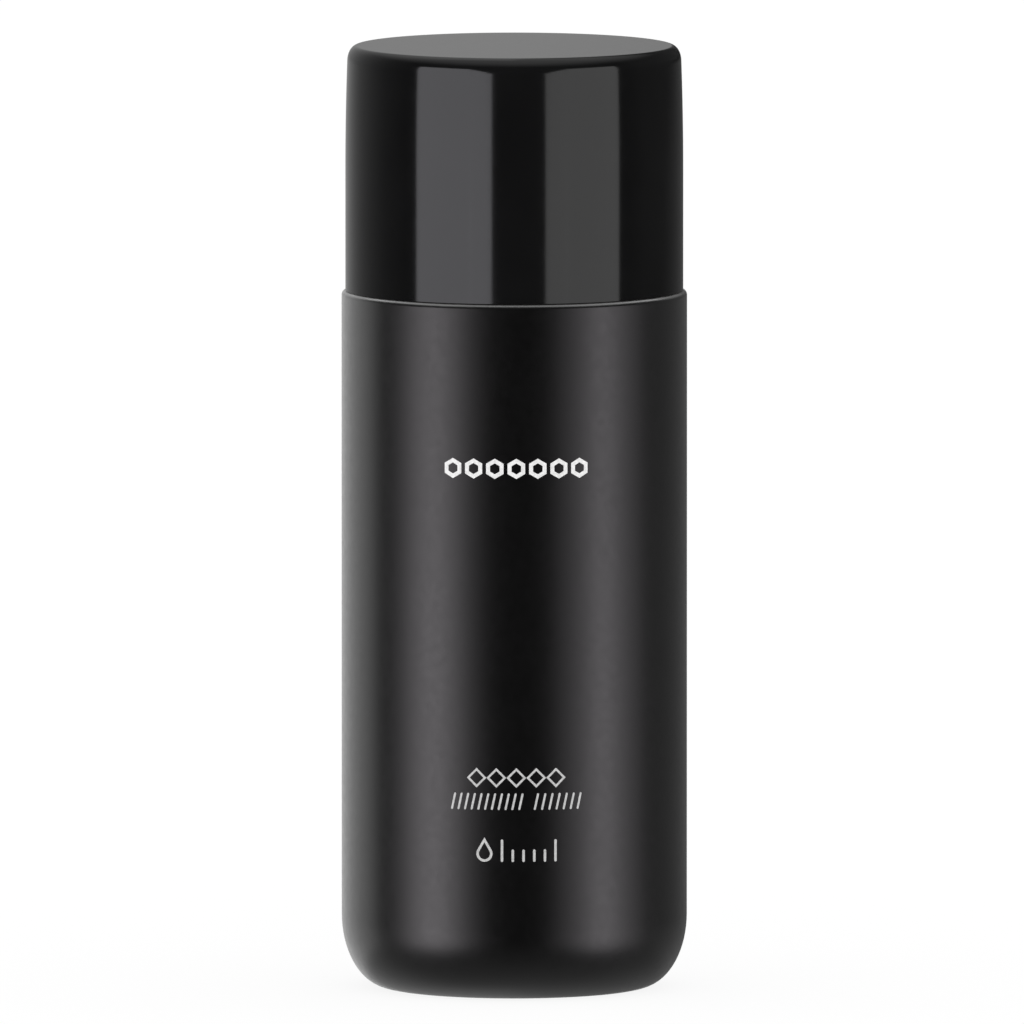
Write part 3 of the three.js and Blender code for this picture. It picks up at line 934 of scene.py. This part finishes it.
def stops(ramp, values):
    """Sets a grey colour ramp from (position, value) pairs."""
    elements = ramp.color_ramp.elements
    while len(elements) < len(values):
        elements.new(0.5)
    for element, (position, value) in zip(elements, values):
        element.position = position
        element.color = (value, value, value, 1)


def studio_world():
    """Pale surroundings to the eye and for soft light, and in mirror directions a studio that is
    dark in front, grey behind and light overhead and below."""
    world = bpy.data.worlds.new("studio")
    bpy.context.scene.world = world
    world.use_nodes = True
    world.cycles.sampling_method = "NONE"
    tree = world.node_tree
    make, link = tree.nodes.new, tree.links.new
    background = tree.nodes["Background"]

    split = make("ShaderNodeSeparateXYZ")
    link(make("ShaderNodeTexCoord").outputs["Generated"], split.inputs["Vector"])

    def maths(operation, first, second=None):
        node = make("ShaderNodeMath")
        node.operation = operation
        for socket, value in zip(node.inputs, (first, second)):
            if isinstance(value, (int, float)):
                socket.default_value = value
            elif value is not None:
                link(value, socket)
        return node.outputs[0]

    def ramp(value, values):
        node = make("ShaderNodeValToRGB")
        stops(node, values)
        link(value, node.inputs["Fac"])
        return node.outputs["Color"]

    x, y, z = (split.outputs[axis] for axis in "XYZ")
    azimuth = maths("ARCTAN2", x, maths("MULTIPLY", y, -1))
    turn = maths("ADD", maths("DIVIDE", azimuth, 2 * math.pi), 0.5)
    round_about = ramp(turn, [((a + 180) / 360, v) for a, v in (
        (-180, 0.33), (-150, 0.325), (-121, 0.2), (-100, 0.07), (-80, 0.0),
        (80, 0.0), (100, 0.045), (150, 0.035), (170, 0.02), (178, 0.08), (180, 0.33))])
    above = ramp(z, [(0.0, 0.0), (0.1, 0.02), (0.5, 0.02), (0.57, 0.08),
                     (0.66, 0.22), (0.73, 0.35), (0.88, 0.6), (1.0, 0.68)])
    low = maths("ADD", maths("MULTIPLY", z, -1), maths("MULTIPLY", y, 0.2))
    below = ramp(maths("DIVIDE", low, 1.02), [(0.19, 0.0), (0.285, 0.09), (0.34, 0.09), (0.57, 0.22),
                                              (0.81, 0.39), (0.91, 0.5), (1.0, 0.68)])
    mirrored = maths("ADD", maths("ADD", round_about, above), below)

    rays = make("ShaderNodeLightPath")
    pale = 1.02
    mix = make("ShaderNodeMix")
    link(rays.outputs["Is Glossy Ray"], mix.inputs["Factor"])
    mix.inputs["A"].default_value = pale
    link(mirrored, mix.inputs["B"])
    link(mix.outputs["Result"], background.inputs["Strength"])
    background.inputs["Color"].default_value = (1, 1, 1, 1)


def long_lens():
    """A long lens a little above the can, level enough to show a sliver of its top."""
    data = bpy.data.cameras.new("camera")
    data.sensor_width = 36
    data.lens = 1565
    data.clip_start = 0.05
    data.clip_end = 20
    camera = bpy.data.objects.new("camera", data)
    bpy.context.scene.collection.objects.link(camera)
    aim = Vector((-0.3 * MM, 0, 62.0 * MM))
    place = polar(0, 5.3, 5.8)
    camera.matrix_world = Matrix.Translation(aim + place) @ facing_back(place)
    bpy.context.scene.camera = camera
    return camera


def softboxes(shell, liner):
    """Panels left and right of the camera that make the upright reflections: even ones with
    stepped inner top corners for the gloss overcap, and ones that fade towards their sides for
    the satin can, which also has wide panels behind it and overhead, and two behind for its rim."""
    pieces = [o for o in bpy.context.scene.objects
              if o.type == "MESH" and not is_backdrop(o) and not o.hide_render]
    cap_only = receivers("lit_by_cap_panels", [shell, liner])
    all_but_cap = receivers("lit_by_can_panels", [o for o in pieces if o not in (shell, liner)])
    cap_middle = Vector((0, 0, 107 * MM))
    can_middle = Vector((0, 0, 48 * MM))
    foot = -26

    for side, near, far, radiance, tone in (("left", -15.2, -69.8, 1.93, (0.99, 0.98, 1.035)),
                                            ("right", 21.1, 75.7, 1.2, (1, 1, 1))):
        step = math.copysign(3.7, far)
        edges = [near + k * step for k in range(5)] + [far]
        for k, top in enumerate((2, 6.5, 11, 15, 19)):
            panel(f"cap_panel_{side}_{k}", edges[k:k + 2], (foot, top), radiance, cap_middle, cap_only,
                  tone=tone)

    for side, middle, steps in (("left", -55, ((9, 1.6), (20, 1.6), (32, 0.7))),
                                ("right", 60.7, ((9, 1.75), (20, 0.75), (32, 0.8)))):
        for half, radiance in steps:
            panel(f"can_panel_{side}_{half}", (middle - half, middle + half), (foot, 3), radiance,
                  can_middle, all_but_cap, distance=0.9 + 0.002 * half, tone=(1, 0.955, 1))

    panel("can_panel_rear_left", (-185, -106), (-25, 15), 0.84, can_middle, all_but_cap)
    panel("can_panel_rear_right", (94.5, 179.5), (-25, 15), 0.12, can_middle, all_but_cap)
    panel("can_panel_above", (130, 230), (42, 122), 3.6, can_middle, all_but_cap)
    panel("can_panel_rim_left", (-165, -125), (16, 42), 1.25, can_middle, all_but_cap)
    panel("can_panel_rim_right", (125, 165), (16, 42), 0.5, can_middle, all_but_cap)


pale_floor()
studio_world()
long_lens()
softboxes(shell, liner)
bpy.context.scene.view_settings.view_transform = "Standard"
